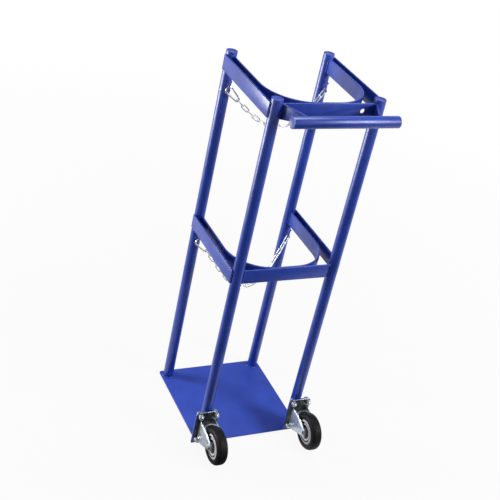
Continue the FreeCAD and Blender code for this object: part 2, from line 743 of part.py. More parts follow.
def hook_gate(level):
    gate = new_body(f"{level}_hook_gate")
    outline = new_sketch(gate, f"{level}_gate_outline", "XY_Plane", "-gate_thickness / 2")
    tip = f"(hook_nose + gate_gap + {gate_half})"
    tip_end = bend(tip, "0", gate_half, "90 deg", "180 deg", ear_corners)
    pivot_end = bend(gate_pivot, "0", gate_half, "-90 deg", "180 deg", ear_corners)
    draw(outline, tip_end + pivot_end)
    ring(outline, "gate_pin_diameter + 2 * running_gap", gate_pivot, "0")
    pad(gate, outline, "gate_thickness")
    return gate


def chains():
    link = chain_link()
    for level in ("upper", "lower"):
        one_chain(level, link)


base_plate()
posts()
bars()
saddles()
handle()
chain_eyes()
casters()
chains()
doc.recompute()

# Every object has to be sound before anything is written
for thing in doc.Objects:
    if "Invalid" in thing.State or "Error" in thing.State:
        raise ValueError("failed: " + thing.Label)
for thing in solids:
    if thing.Shape.isNull() or not thing.Shape.isValid():
        raise ValueError("bad shape: " + thing.Label)

os.makedirs("parts", exist_ok=True)
for thing in solids:
    thing.Shape.exportStep("parts/%s.step" % thing.Label)
print(len(solids), "pieces")
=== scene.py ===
import json
import math

import bmesh
import bpy
import numpy as np
from mathutils import Matrix, Vector


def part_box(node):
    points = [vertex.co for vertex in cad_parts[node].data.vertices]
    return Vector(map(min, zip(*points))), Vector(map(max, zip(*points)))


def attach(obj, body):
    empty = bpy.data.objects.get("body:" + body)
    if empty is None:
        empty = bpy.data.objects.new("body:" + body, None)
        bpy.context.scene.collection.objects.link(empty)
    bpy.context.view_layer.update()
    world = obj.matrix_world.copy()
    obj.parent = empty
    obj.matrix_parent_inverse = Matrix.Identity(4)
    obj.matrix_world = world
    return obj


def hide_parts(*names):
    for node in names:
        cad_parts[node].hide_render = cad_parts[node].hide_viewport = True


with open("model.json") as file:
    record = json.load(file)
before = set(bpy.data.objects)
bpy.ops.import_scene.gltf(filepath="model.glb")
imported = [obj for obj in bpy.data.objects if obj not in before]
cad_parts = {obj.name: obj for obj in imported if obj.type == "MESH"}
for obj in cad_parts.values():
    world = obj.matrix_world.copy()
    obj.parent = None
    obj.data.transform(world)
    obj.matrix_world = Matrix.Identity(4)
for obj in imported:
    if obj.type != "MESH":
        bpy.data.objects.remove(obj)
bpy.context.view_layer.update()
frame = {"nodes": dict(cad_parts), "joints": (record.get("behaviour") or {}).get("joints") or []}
nodes = frame["nodes"]
jointSpots = {joint["name"]: Vector(joint["pos_m"]) for joint in frame["joints"]}
axleSpot = jointSpots["left_wheel_spin"]  # both wheels turn on one line
mm = 0.001  # the pieces' values are in millimetres, the scene is in metres
mergeGap = 0.002 * mm  # vertices closer than this become one
near = 0.1 * mm  # places closer than this count as the same
facing = 0.9  # a face looks along an axis when its normal has this share of it
alongX = (0, math.pi / 2, 0)  # turns a round that stands on Z to lie on X
print("frame loaded,", len(nodes), "nodes")


# small tools for adding, picking and finishing

def activate(piece):
    bpy.ops.object.select_all(action="DESELECT")
    piece.select_set(True)
    bpy.context.view_layer.objects.active = piece


def startEdit(piece):
    activate(piece)
    bpy.ops.object.mode_set(mode="EDIT")


def endEdit():
    bpy.ops.object.mode_set(mode="OBJECT")


def startPick(piece, kind):
    bpy.ops.mesh.select_mode(type=kind)
    bpy.ops.mesh.select_all(action="DESELECT")
    return bmesh.from_edit_mesh(piece.data)


def pickFaces(piece, test):
    mesh = startPick(piece, "FACE")
    for face in mesh.faces:
        if test(face.calc_center_median(), face.normal):
            face.select_set(True)
    bmesh.update_edit_mesh(piece.data)


def pickEdges(piece, test):
    mesh = startPick(piece, "EDGE")
    for edge in mesh.edges:
        if test(edge.verts[0].co, edge.verts[1].co):
            edge.select_set(True)
    bmesh.update_edit_mesh(piece.data)


def pickVerts(piece, test):
    mesh = startPick(piece, "VERT")
    for vert in mesh.verts:
        if test(vert.co):
            vert.select_set(True)
    mesh.select_flush(True)
    bmesh.update_edit_mesh(piece.data)


def extrude(step):
    bpy.ops.mesh.extrude_region_move(TRANSFORM_OT_translate={"value": step})


def mergeDoubles():
    bpy.ops.mesh.select_all(action="SELECT")
    bpy.ops.mesh.remove_doubles(threshold=mergeGap)


def applyPlace(piece):
    activate(piece)
    bpy.ops.object.transform_apply(location=True, rotation=True, scale=True)


def addRound(radius, depth, sides, spot=(0, 0, 0), turn=(0, 0, 0)):
    bpy.ops.object.select_all(action="DESELECT")
    bpy.ops.mesh.primitive_cylinder_add(vertices=sides, radius=radius, depth=depth, location=spot,
                                        rotation=turn)
    piece = bpy.context.object
    applyPlace(piece)
    return piece


def addRing(radius, wire, around, sides, spot=(0, 0, 0), turn=(0, 0, 0)):
    bpy.ops.object.select_all(action="DESELECT")
    bpy.ops.mesh.primitive_torus_add(major_segments=around, minor_segments=sides, major_radius=radius,
                                     minor_radius=wire, location=spot, rotation=turn)
    piece = bpy.context.object
    applyPlace(piece)
    return piece


def applyModifier(piece, kind, **settings):
    activate(piece)
    modifier = piece.modifiers.new(kind.lower(), kind)
    for name, value in settings.items():
        setattr(modifier, name, value)
    bpy.ops.object.modifier_apply(modifier=modifier.name)


def softenEdges(piece, width, segments=2, angle=30):
    applyModifier(piece, "BEVEL", width=width * mm, segments=segments, limit_method="ANGLE",
                  angle_limit=math.radians(angle), harden_normals=False)


def settle(piece, name, smoothAngle=35):
    applyPlace(piece)
    startEdit(piece)
    mergeDoubles()
    bpy.ops.mesh.normals_make_consistent(inside=False)
    endEdit()
    bpy.ops.object.shade_smooth_by_angle(angle=math.radians(smoothAngle))
    piece.name = name
    piece.data.name = name
    return piece


def joinPieces(pieces):
    activate(pieces[0])
    for piece in pieces:
        piece.select_set(True)
    bpy.ops.object.join()
    return pieces[0]


def copyPiece(piece, place):
    twin = piece.copy()
    twin.data = piece.data.copy()
    bpy.context.scene.collection.objects.link(twin)
    twin.data.transform(place)
    return twin


def dropPiece(piece):
    bpy.data.objects.remove(piece, do_unlink=True)


def handOver(piece, body, slot, material, *replaced):
    piece.data.materials.clear()
    piece.data.materials.append(material)
    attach(piece, body)
    if replaced:
        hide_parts(*replaced)


# building blocks of the finishes

def startMaterial(name):
    material = bpy.data.materials.new(name)
    material.use_nodes = True
    tree = material.node_tree
    shader = tree.nodes["Principled BSDF"]
    spots = tree.nodes.new("ShaderNodeTexCoord")
    return material, tree, shader, spots.outputs["Object"]


def noise(tree, spots, scale, detail, stretch=(1, 1, 1)):
    mapping = tree.nodes.new("ShaderNodeMapping")
    mapping.inputs["Scale"].default_value = stretch
    tree.links.new(spots, mapping.inputs["Vector"])
    pattern = tree.nodes.new("ShaderNodeTexNoise")
    pattern.inputs["Scale"].default_value = scale
    pattern.inputs["Detail"].default_value = detail
    tree.links.new(mapping.outputs["Vector"], pattern.inputs["Vector"])
    return pattern.outputs["Fac"]


def ramp(tree, value, positions, tints):
    node = tree.nodes.new("ShaderNodeValToRGB")
    elements = node.color_ramp.elements
    elements[0].position = positions[0]
    elements[-1].position = positions[-1]
    for position in positions[1:-1]:
        elements.new(position)
    for element, tint in zip(elements, tints):
        element.color = (*tint, 1)
    tree.links.new(value, node.inputs["Fac"])
    return node.outputs["Color"]


def spread(tree, value, low, high, start=0.3, end=0.7):
    node = tree.nodes.new("ShaderNodeMapRange")
    node.inputs["From Min"].default_value = start
    node.inputs["From Max"].default_value = end
    node.inputs["To Min"].default_value = low
    node.inputs["To Max"].default_value = high
    tree.links.new(value, node.inputs["Value"])
    return node.outputs["Result"]


def fade(tree, distance, low, high, edges):  # goes from low to high between two edges in millimetres
    return spread(tree, distance, low, high, *(edge * mm for edge in edges))


def reckon(tree, operation, first, second=0.0):
    node = tree.nodes.new("ShaderNodeMath")
    node.operation = operation
    for socket, value in zip(node.inputs, (first, second)):
        if isinstance(value, float):
            socket.default_value = value
        else:
            tree.links.new(value, socket)
    return node.outputs[0]


def slantGap(tree, first, second):  # the distance that two gaps at right angles make
    squares = [reckon(tree, "MULTIPLY", gap, gap) for gap in (first, second)]
    return reckon(tree, "SQRT", reckon(tree, "ADD", *squares))


def mixTints(tree, share, first, second):
    node = tree.nodes.new("ShaderNodeMix")
    node.data_type = "RGBA"
    for socket, value in ((0, share), (6, first), (7, second)):  # 6 and 7 are its two colours
        tree.links.new(value, node.inputs[socket])
    return node.outputs[2]


def axesOf(tree, spots):
    parts = tree.nodes.new("ShaderNodeSeparateXYZ")
    tree.links.new(spots, parts.inputs[0])
    return parts.outputs


def casterGap(tree, spots):  # distance from the middle of the nearer caster
    outward = reckon(tree, "ABSOLUTE", axesOf(tree, spots)["X"])
    return reckon(tree, "ABSOLUTE", reckon(tree, "SUBTRACT", outward, abs(axleSpot.x)))


def bump(tree, shader, height, strength, depth):
    node = tree.nodes.new("ShaderNodeBump")
    node.inputs["Strength"].default_value = strength
    node.inputs["Distance"].default_value = depth * mm
    tree.links.new(height, node.inputs["Height"])
    tree.links.new(node.outputs["Normal"], shader.inputs["Normal"])


# finishes: mottle, patches and grain are a scale, a detail and a stretch; relief is a strength and a depth

paintLook = {"tints": ((0.007, 0.030, 0.26), (0.010, 0.038, 0.305), (0.013, 0.046, 0.35)),
             "stops": (0.3, 0.5, 0.72), "roughness": (0.30, 0.42), "metal": 0.0, "shine": 0.6,
             "mottle": (14, 5), "patches": (55, 4), "grain": (420, 2), "relief": (0.12, 0.25)}
scuffedAndLitLook = {**paintLook, "roughness": (0.56, 0.70), "shine": 0.45,  # worn dull by what stands on it; its lighter tints are painted light on the plate's top face
               "tints": ((0.014, 0.042, 0.32), (0.018, 0.052, 0.375), (0.022, 0.062, 0.43))}
zincLook = {"tints": ((0.40, 0.45, 0.49), (0.64, 0.70, 0.75)),
            # the darker tints are painted shade and dark reflection, used inside the forks and on the plates
            "grime": ((0.035, 0.042, 0.044), (0.10, 0.115, 0.12)),
            "stops": (0.32, 0.68), "roughness": (0.31, 0.47), "metal": 1.0, "shine": 0.5,
            "mottle": (70, 6), "patches": (160, 4), "grain": (900, 3, (1, 1, 0.2)), "relief": (0.1, 0.12),
            "legInside": (18.3, 18.9), "notchMiddle": -193.5, "lip": (21.5, 26.0), "lipShare": 0.5,
            "plateRim": (107.3, 108.1)}
chainLook = {"tints": ((0.50, 0.51, 0.53), (0.86, 0.87, 0.89)),
             "stops": (0.3, 0.62), "roughness": (0.29, 0.40), "metal": 1.0, "shine": 0.5,
             "mottle": (180, 5), "patches": (320, 3), "grain": (1500, 2), "relief": (0.12, 0.1)}
rubberLook = {"tints": ((0.004, 0.004, 0.005), (0.010, 0.010, 0.012)),
              "stops": (0.3, 0.7), "roughness": (0.42, 0.60), "metal": 0.0, "shine": 0.14,
              "mottle": (90, 5), "patches": (240, 4), "grain": (1400, 3), "relief": (0.2, 0.2)}
plasticLook = {"tints": ((0.44, 0.42, 0.45), (0.57, 0.55, 0.58)),
               # the darker tints are painted shade, used in the wheel's ring grooves
               "grime": ((0.02, 0.02, 0.022), (0.07, 0.068, 0.07)),
               "stops": (0.3, 0.7), "roughness": (0.36, 0.52), "metal": 0.0, "shine": 0.5,
               "mottle": (120, 5), "patches": (300, 3), "grain": (1200, 2), "relief": (0.15, 0.12),
               "deep": (8.0, 10.0), "deepShare": 0.85, "reach": 35.0,
               "grooves": ((11.8, 12.2, 18.9, 19.3), (23.7, 24.1, 27.9, 28.3))}  # none, full, full, none


def insideFork(tree, spots):  # painted shade and dark reflection between the legs, less on the round lip
    across = casterGap(tree, spots)
    along = reckon(tree, "SUBTRACT", axesOf(tree, spots)["Y"], zincLook["notchMiddle"] * mm)
    behind = fade(tree, slantGap(tree, across, along), zincLook["lipShare"], 1, zincLook["lip"])
    between = fade(tree, across, 1, 0, zincLook["legInside"])
    return reckon(tree, "MULTIPLY", between, behind)


def plateFace(tree, spots):  # painted shade and dark reflection on the plate below its upper rim
    return fade(tree, axesOf(tree, spots)["Z"], 1, 0, zincLook["plateRim"])


def wheelGrooves(tree, spots):  # painted shade in the two ring grooves, a little less near their mouths
    axes = axesOf(tree, spots)
    along = reckon(tree, "SUBTRACT", axes["Y"], axleSpot.y)
    above = reckon(tree, "SUBTRACT", axes["Z"], axleSpot.z)
    reach = spread(tree, slantGap(tree, along, above), 0, 1, 0, plasticLook["reach"] * mm)
    positions, shares = [], []
    for edges in plasticLook["grooves"]:
        positions += [edge / plasticLook["reach"] for edge in edges]
        shares += [(share,) * 3 for share in (0, 1, 1, 0)]
    grooves = ramp(tree, reach, positions, shares)
    deep = fade(tree, casterGap(tree, spots), 1, plasticLook["deepShare"], plasticLook["deep"])
    return reckon(tree, "MULTIPLY", grooves, deep)


def mottledFinish(name, look, shadeMaskOf=None):
    material, tree, shader, spots = startMaterial(name)
    mottle = noise(tree, spots, *look["mottle"])
    tint = ramp(tree, mottle, look["stops"], look["tints"])
    # painted shade: a darker copy of the tints, mixed in where the mask asks for it
    if shadeMaskOf:
        grime = ramp(tree, mottle, look["stops"], look["grime"])
        tint = mixTints(tree, shadeMaskOf(tree, spots), tint, grime)
    tree.links.new(tint, shader.inputs["Base Color"])
    patches = noise(tree, spots, *look["patches"])
    tree.links.new(spread(tree, patches, *look["roughness"]), shader.inputs["Roughness"])
    shader.inputs["Metallic"].default_value = look["metal"]
    shader.inputs["Specular IOR Level"].default_value = look["shine"]
    bump(tree, shader, noise(tree, spots, *look["grain"]), *look["relief"])
    return material


paint = mottledFinish("bluePaint", paintLook)
# the base plate's paint is a lighter copy: painted light on its top face, with a duller worn finish
scuffedAndLitPaint = mottledFinish("scuffedAndLitPaint", scuffedAndLitLook)
zinc = mottledFinish("zincPlate", zincLook)
# the fork finish carries painted shade and dark reflection between its legs
forkZinc = mottledFinish("forkZinc", zincLook, insideFork)
# the plate finish carries painted shade and dark reflection below its upper rim
plateZinc = mottledFinish("plateZinc", zincLook, plateFace)
chainZinc = mottledFinish("chainZinc", chainLook)
rubber = mottledFinish("tyreRubber", rubberLook)
# the wheel finish carries painted shade in its ring grooves
plastic = mottledFinish("wheelPlastic", plasticLook, wheelGrooves)
print("materials ready")


# flat pieces: merged copies of the CAD nodes with softened edges

planeAngle = 0.6  # triangles that differ by fewer degrees become one face
flatLook = {"edge": 0.8, "baseEdge": 0.7}
flatNodes = ("upper_side_bar_left", "upper_side_bar_right", "lower_side_bar_left", "lower_side_bar_right",
             "upper_rear_bar", "lower_rear_bar", "upper_saddle", "lower_saddle", "handle_arm_left",
             "handle_arm_right")
mountLook = {"topFrom": 107.0, "cut": 2.0, "corner": 6.0, "cornerRun": 3.0, "edge": 0.8}


def mergedCopy(nodeName):
    piece = bpy.data.objects.new(nodeName + "_copy", nodes[nodeName].data.copy())
    bpy.context.scene.collection.objects.link(piece)
    startEdit(piece)
    mergeDoubles()
    bpy.ops.mesh.dissolve_limited(angle_limit=math.radians(planeAngle))
    endEdit()
    return piece


def softCopy(nodeName, pieceName, width, segments=2):
    piece = mergedCopy(nodeName)
    softenEdges(piece, width, segments)
    return settle(piece, pieceName)


def trimmedMounts():  # lower and with cut corners, so that no paint shows above the caster plates
    mounts = mergedCopy("caster_mounts")
    oldTop = mountLook["topFrom"] * mm
    newTop = (mountLook["topFrom"] - mountLook["cut"]) * mm
    startEdit(mounts)
    pickVerts(mounts, lambda spot: spot.z > oldTop)
    bpy.ops.transform.translate(value=(0, 0, -mountLook["cut"] * mm))
    pickEdges(mounts, lambda a, b: min(a.z, b.z) > newTop and abs(a.y - b.y) > mountLook["cornerRun"] * mm)
    bpy.ops.mesh.bevel(offset=mountLook["corner"] * mm, segments=1, affect="EDGES")
    endEdit()
    softenEdges(mounts, mountLook["edge"])
    return settle(mounts, "casterMounts")


for nodeName in flatNodes:
    words = nodeName.split("_")
    pieceName = words[0] + "".join(word.capitalize() for word in words[1:])
    handOver(softCopy(nodeName, pieceName, flatLook["edge"]), "frame", "blue_paint", paint, nodeName)
basePlate = softCopy("base_plate", "basePlate", flatLook["baseEdge"])
# painted light: the base plate takes the lighter copy of the paint
handOver(basePlate, "frame", "blue_paint", scuffedAndLitPaint, "base_plate")
handOver(trimmedMounts(), "frame", "blue_paint", paint, "caster_mounts")
print("flat pieces ready")


# round tubes with welded end discs

tubeLook = {"sides": 72, "discInset": 2.0, "discSink": 0.5, "edge": 0.35}


def closedTube(name, start, end, radius, closedEnds):  # closed at its start (0), its end (1) or both
    run = end - start
    tube = addRound(radius, run.length, tubeLook["sides"], (0, 0, run.length / 2))
    startEdit(tube)
    for height in closedEnds:  # a sunk disc inside a rounded tube end
        level = height * run.length
        side = 1 if height else -1
        pickFaces(tube, lambda spot, normal: normal.z * side > facing and abs(spot.z - level) < mm)
        bpy.ops.mesh.inset(thickness=tubeLook["discInset"] * mm)
        extrude((0, 0, -side * tubeLook["discSink"] * mm))
    endEdit()
    softenEdges(tube, tubeLook["edge"], angle=50)
    tube.data.transform(run.to_track_quat("Z", "Y").to_matrix().to_4x4())
    tube.data.transform(Matrix.Translation(start))
    return settle(tube, name)


for row in ("front", "rear"):
    for side in ("left", "right"):
        nodeName = f"{row}_post_{side}"
        low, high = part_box(nodeName)
        middle = (low + high) / 2
        foot = Vector((middle.x, middle.y, low.z))
        top = Vector((middle.x, middle.y, high.z))
        post = closedTube(f"{row}Post{side.capitalize()}", foot, top, (high.x - low.x) / 2, (1,))
        handOver(post, "frame", "blue_paint", paint, nodeName)
low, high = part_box("handle_tube")
middle = (low + high) / 2
leftEnd = Vector((low.x, middle.y, middle.z))
rightEnd = Vector((high.x, middle.y, middle.z))
grip = closedTube("handleTube", leftEnd, rightEnd, (high.z - low.z) / 2, (0, 1))
handOver(grip, "frame", "blue_paint", paint, "handle_tube")
print("tubes ready")


# bent rods: a ring of wire is extruded on the straights and spun round the bends

def startRod(spot, normal, radius, sides):
    turn = Vector(normal).to_track_quat("Z", "Y").to_euler()
    bpy.ops.object.select_all(action="DESELECT")
    bpy.ops.mesh.primitive_circle_add(vertices=sides, radius=radius, fill_type="NGON", location=spot,
                                      rotation=turn)
    rod = bpy.context.object
    applyPlace(rod)
    startEdit(rod)
    bpy.ops.mesh.select_mode(type="FACE")
    bpy.ops.mesh.select_all(action="SELECT")
    return rod


def turnRod(centre, axis, angle, steps):
    bpy.ops.mesh.spin(steps=steps, angle=angle, center=centre, axis=axis)


def rippleRod(level, pitch, count, share):  # each ripple scales an upright rod by the share and back
    for ripple in range(count):
        for factor in (share, 1 / share):
            level += pitch / 2
            extrude((0, 0, pitch / 2 * mm))
            bpy.ops.transform.resize(value=(factor, factor, 1), center_override=(0, 0, level * mm))
    return level


# caster wheels: turned centre with ring grooves and ribs, round black tyre

wheelLook = {"sides": 96, "radius": 35.0, "halfWidth": 11.0, "bore": 5.06, "flare": 3.0, "edge": 0.5,
             "rings": ((7.0, -6.5), (4.0, 5.0), (5.0, -6.0), (6.5, 11.5)),  # inset, then rise to the next
             "ribs": 12, "ribFaces": 2, "ribRise": 2.6}
tyreLook = {"sides": 120, "radius": 50.0, "width": 30.0, "seat": 35.05, "crown": 10.5, "crownSteps": 9,
            "grooveStart": 1.4, "grooveWidth": 0.9, "grooveDepth": 0.5, "flatMargin": 0.5, "edge": 0.5}


def radiusOf(spot):  # distance from the X axis
    return math.hypot(spot.y, spot.z)


def openBore(piece, radius):  # takes out the middles of both sides and joins their rims
    pickFaces(piece, lambda spot, normal: abs(normal.x) > facing and radiusOf(spot) < mm)
    bpy.ops.mesh.delete(type="ONLY_FACE")
    pickEdges(piece, lambda a, b: max(radiusOf(a), radiusOf(b)) < (radius + 1) * mm)
    bpy.ops.mesh.bridge_edge_loops()


def turnedWheel():
    rings = wheelLook["rings"]
    width = 2 * wheelLook["halfWidth"]
    wheel = addRound(wheelLook["radius"] * mm, width * mm, wheelLook["sides"], turn=alongX)
    boreInset = wheelLook["radius"] - sum(inset for inset, rise in rings) - wheelLook["bore"]
    startEdit(wheel)
    for side in (1, -1):
        pickFaces(wheel, lambda spot, normal: normal.x * side > facing)
        for inset, rise in rings:
            bpy.ops.mesh.inset(thickness=inset * mm)
            if (inset, rise) == rings[0]:  # the outer ring slopes towards the tyre
                bpy.ops.transform.translate(value=(side * wheelLook["flare"] * mm, 0, 0))
            extrude((side * rise * mm, 0, 0))
        bpy.ops.mesh.inset(thickness=boreInset * mm)
    openBore(wheel, wheelLook["bore"])
    grooveFloor = wheelLook["halfWidth"] + wheelLook["flare"] + rings[0][1]
    outer = wheelLook["radius"] - rings[0][0]
    inner = outer - rings[1][0]
    pitch = 2 * math.pi / wheelLook["ribs"]
    share = wheelLook["ribFaces"] / wheelLook["sides"] * wheelLook["ribs"]
    for side in (1, -1):  # ribs across the outer groove
        pickFaces(wheel, lambda spot, normal: normal.x * side > facing
                  and abs(spot.x * side - grooveFloor * mm) < near
                  and inner < radiusOf(spot) / mm < outer
                  and (math.atan2(spot.z, spot.y) % pitch) / pitch < share)
        extrude((side * wheelLook["ribRise"] * mm, 0, 0))
    endEdit()
    softenEdges(wheel, wheelLook["edge"], angle=40)
    return settle(wheel, "wheelPattern")


def roundTyre():
    tyre = addRound(tyreLook["radius"] * mm, tyreLook["width"] * mm, tyreLook["sides"], turn=alongX)
    tread = (tyreLook["radius"] - 1) * mm  # all that lies farther out
    flat = tyreLook["width"] / 2 - tyreLook["crown"]
    groove = flat - tyreLook["grooveStart"]
    startEdit(tyre)
    for side in (1, -1):
        pickFaces(tyre, lambda spot, normal: normal.x * side > facing)
        bpy.ops.mesh.inset(thickness=(tyreLook["radius"] - tyreLook["seat"]) * mm)
    openBore(tyre, tyreLook["seat"])
    pickEdges(tyre, lambda a, b: min(radiusOf(a), radiusOf(b)) > tread and abs(a.x - b.x) < near)
    bpy.ops.mesh.bevel(offset=tyreLook["crown"] * mm, segments=tyreLook["crownSteps"], profile=0.5,
                       affect="EDGES")
    pickFaces(tyre, lambda spot, normal: abs(spot.x) < (flat - tyreLook["flatMargin"]) * mm
              and radiusOf(spot) > tread)
    bpy.ops.mesh.inset(thickness=tyreLook["grooveStart"] * mm)
    bpy.ops.mesh.inset(thickness=tyreLook["grooveWidth"] * mm)
    pickFaces(tyre, lambda spot, normal: groove - tyreLook["grooveWidth"] < abs(spot.x) / mm < groove
              and radiusOf(spot) > tread)
    sink = -tyreLook["grooveDepth"] * mm
    bpy.ops.mesh.extrude_region_shrink_fatten(TRANSFORM_OT_shrink_fatten={"value": sink})
    endEdit()
    softenEdges(tyre, tyreLook["edge"], angle=50)
    return settle(tyre, "tyrePattern", smoothAngle=40)


wheelPattern = turnedWheel()
tyrePattern = roundTyre()
for side in ("left", "right"):
    place = Matrix.Translation(jointSpots[f"{side}_wheel_spin"])
    centre = copyPiece(wheelPattern, place)
    centre.name = f"{side}WheelCentre"
    handOver(centre, f"{side}_wheel", "wheel_plastic", plastic, f"wheel_centre_{side}")
    tyre = copyPiece(tyrePattern, place)
    tyre.name = f"{side}Tyre"
    handOver(tyre, f"{side}_wheel", "tyre_rubber", rubber, f"tyre_{side}")
dropPiece(wheelPattern)
dropPiece(tyrePattern)
print("wheels ready")


# caster plates, forks and fasteners

casterLook = {"plateEdge": 0.5, "forkEdge": 1.0,
              "hoodHole": 3.2, "holeSide": -11.0, "holeBehind": -166.0, "holeHeight": 80.0, "holeSides": 32,
              "drillLength": 20.0,
              "rollRadius": 1.7, "rollSide": 20.2, "rollSides": 14, "rollEdge": 1.2,
              "rollPath": ((-157.0, 82.6), (-183.5, 81.7), (-227.0, 66.8)),  # along Y, and height
              "legEnd": -229.0, "legEndBevel": 2.3, "legEndSteps": 4, "legEndRadius": (13.0, 18.0),
              "legEndShare": 0.64, "acrossSheet": 2.0,
              "hexRadius": 7.5, "hexShare": 0.78, "hexEdge": 0.6, "headFace": -27.9, "headCut": 1.8}
boltLook = {"across": 21.5, "levels": (21.5, 98.5), "plateFace": -152.5, "mountFace": -145.0,
            "flats": 13.0, "nutHeight": 6.5, "headHeight": 5.3,
            "chamfer": 0.7, "chamferRise": 0.45, "hexEdge": 0.25,
            "washer": 7.0, "washerHeight": 1.6, "washerEdge": 0.3, "washerSides": 32,
            "radius": 4.0, "sides": 24, "tail": 4.5, "pitch": 0.8, "rootShare": 0.9,
            "tip": 0.6, "tipShare": 0.78}
casterMiddles = (jointSpots["left_wheel_spin"].x / mm, jointSpots["right_wheel_spin"].x / mm)


def axleGap(spot):  # distance from the axle line
    return math.hypot(spot.y - axleSpot.y, spot.z - axleSpot.z) / mm


def slimRoundAxle(share):
    bpy.ops.transform.resize(value=(1, share, share), center_override=axleSpot)


def hexBlock(height, rise=0.0):
    corner = boltLook["flats"] / 2 / math.cos(math.pi / 6)
    block = addRound(corner * mm, height * mm, 6, (0, 0, (rise + height / 2) * mm))
    startEdit(block)
    pickFaces(block, lambda spot, normal: normal.z > facing)
    bpy.ops.mesh.inset(thickness=boltLook["chamfer"] * mm)
    bpy.ops.transform.translate(value=(0, 0, boltLook["chamferRise"] * mm))
    endEdit()
    softenEdges(block, boltLook["hexEdge"], angle=25)
    return block


def flatWasher():
    height = boltLook["washerHeight"] * mm
    block = addRound(boltLook["washer"] * mm, height, boltLook["washerSides"], (0, 0, height / 2))
    softenEdges(block, boltLook["washerEdge"], angle=40)
    return block


def threadedEnd(rise):
    rod = startRod((0, 0, rise * mm), (0, 0, 1), boltLook["radius"] * mm, boltLook["sides"])
    count = int(boltLook["tail"] / boltLook["pitch"])
    level = rippleRod(rise, boltLook["pitch"], count, boltLook["rootShare"])
    extrude((0, 0, boltLook["tip"] * mm))
    bpy.ops.transform.resize(value=(boltLook["tipShare"], boltLook["tipShare"], 1),
                             center_override=(0, 0, (level + boltLook["tip"]) * mm))
    endEdit()
    return rod


def plateBolts():
    washer = flatWasher()
    nut = hexBlock(boltLook["nutHeight"], boltLook["washerHeight"])
    thread = threadedEnd(boltLook["washerHeight"] + boltLook["nutHeight"])
    rear = joinPieces([washer, nut, thread])
    front = hexBlock(boltLook["headHeight"])
    toRear = Matrix.Rotation(math.pi / 2, 4, "X")
    toFront = Matrix.Rotation(-math.pi / 2, 4, "X")
    copies = []
    for middle in casterMiddles:
        for side in (-1, 1):
            for level in boltLook["levels"]:
                x = (middle + side * boltLook["across"]) * mm
                spot = Vector((x, boltLook["plateFace"] * mm, level * mm))
                copies.append(copyPiece(rear, Matrix.Translation(spot) @ toRear))
                spot.y = boltLook["mountFace"] * mm
                copies.append(copyPiece(front, Matrix.Translation(spot) @ toFront))
    dropPiece(rear)
    dropPiece(front)
    return settle(joinPieces(copies), "plateBolts", smoothAngle=30)


def pressedForks():
    forks = mergedCopy("caster_forks")
    inner, outer = casterLook["legEndRadius"]
    startEdit(forks)
    pickVerts(forks, lambda spot: spot.y < axleSpot.y + mm and inner < axleGap(spot) < outer)
    slimRoundAxle(casterLook["legEndShare"])
    pickEdges(forks, lambda a, b: axleGap(a) > casterLook["hexRadius"]
              and max(a.y, b.y) < casterLook["legEnd"] * mm
              and abs(a.x - b.x) > casterLook["acrossSheet"] * mm
              and abs(a.y - b.y) + abs(a.z - b.z) < near)
    bpy.ops.mesh.bevel(offset=casterLook["legEndBevel"] * mm, segments=casterLook["legEndSteps"], profile=0.5,
                       affect="EDGES")
    endEdit()
    drills = []
    for middle in casterMiddles:
        spot = (middle + casterLook["holeSide"], casterLook["holeBehind"], casterLook["holeHeight"])
        drills.append(addRound(casterLook["hoodHole"] * mm, casterLook["drillLength"] * mm,
                               casterLook["holeSides"], [value * mm for value in spot]))
    drill = joinPieces(drills)
    applyModifier(forks, "BOOLEAN", object=drill, operation="DIFFERENCE", solver="EXACT")
    dropPiece(drill)
    softenEdges(forks, casterLook["forkEdge"], segments=3)
    parts = [forks]
    start, bend, end = (Vector((0, *spot)) * mm for spot in casterLook["rollPath"])
    for middle in casterMiddles:
        for side in (-1, 1):  # rolled upper edge of a leg
            shift = Vector(((middle + side * casterLook["rollSide"]) * mm, 0, 0))
            rod = startRod(start + shift, start - bend, casterLook["rollRadius"] * mm,
                           casterLook["rollSides"])
            extrude(bend - start)
            extrude(end - bend)
            endEdit()
            softenEdges(rod, casterLook["rollEdge"], segments=3, angle=60)
            parts.append(rod)
    return settle(joinPieces(parts), "casterForks")


def axleHexes(nodeName, pieceName):  # hexagons that leave the leg ends showing
    piece = mergedCopy(nodeName)
    headFaces = [(middle + casterLook["headFace"]) * mm for middle in casterMiddles]
    startEdit(piece)
    pickVerts(piece, lambda spot: axleGap(spot) > casterLook["hexRadius"])
    slimRoundAxle(casterLook["hexShare"])
    pickVerts(piece, lambda spot: min(abs(spot.x - face) for face in headFaces) < near)
    bpy.ops.transform.translate(value=(casterLook["headCut"] * mm, 0, 0))
    endEdit()
    softenEdges(piece, casterLook["hexEdge"])
    return settle(piece, pieceName)


plates = softCopy("caster_plates", "casterPlates", casterLook["plateEdge"])
handOver(plates, "frame", "zinc", plateZinc, "caster_plates")
handOver(pressedForks(), "frame", "zinc", forkZinc, "caster_forks")
handOver(axleHexes("axle_bolts", "axleBolts"), "frame", "zinc", zinc, "axle_bolts")
handOver(axleHexes("axle_nuts", "axleNuts"), "frame", "zinc", zinc, "axle_nuts")
handOver(plateBolts(), "frame", "zinc", zinc)
print("casters ready")


# chain eyes: round staples welded to the front posts

eyeLook = {"wire": 2.0, "half": 11.0, "reach": 20.0, "bend": 5.0, "bendSteps": 7, "root": 1.0, "sides": 16,
           "weld": 2.5, "weldBead": 1.1, "weldAround": 20, "weldSides": 8}


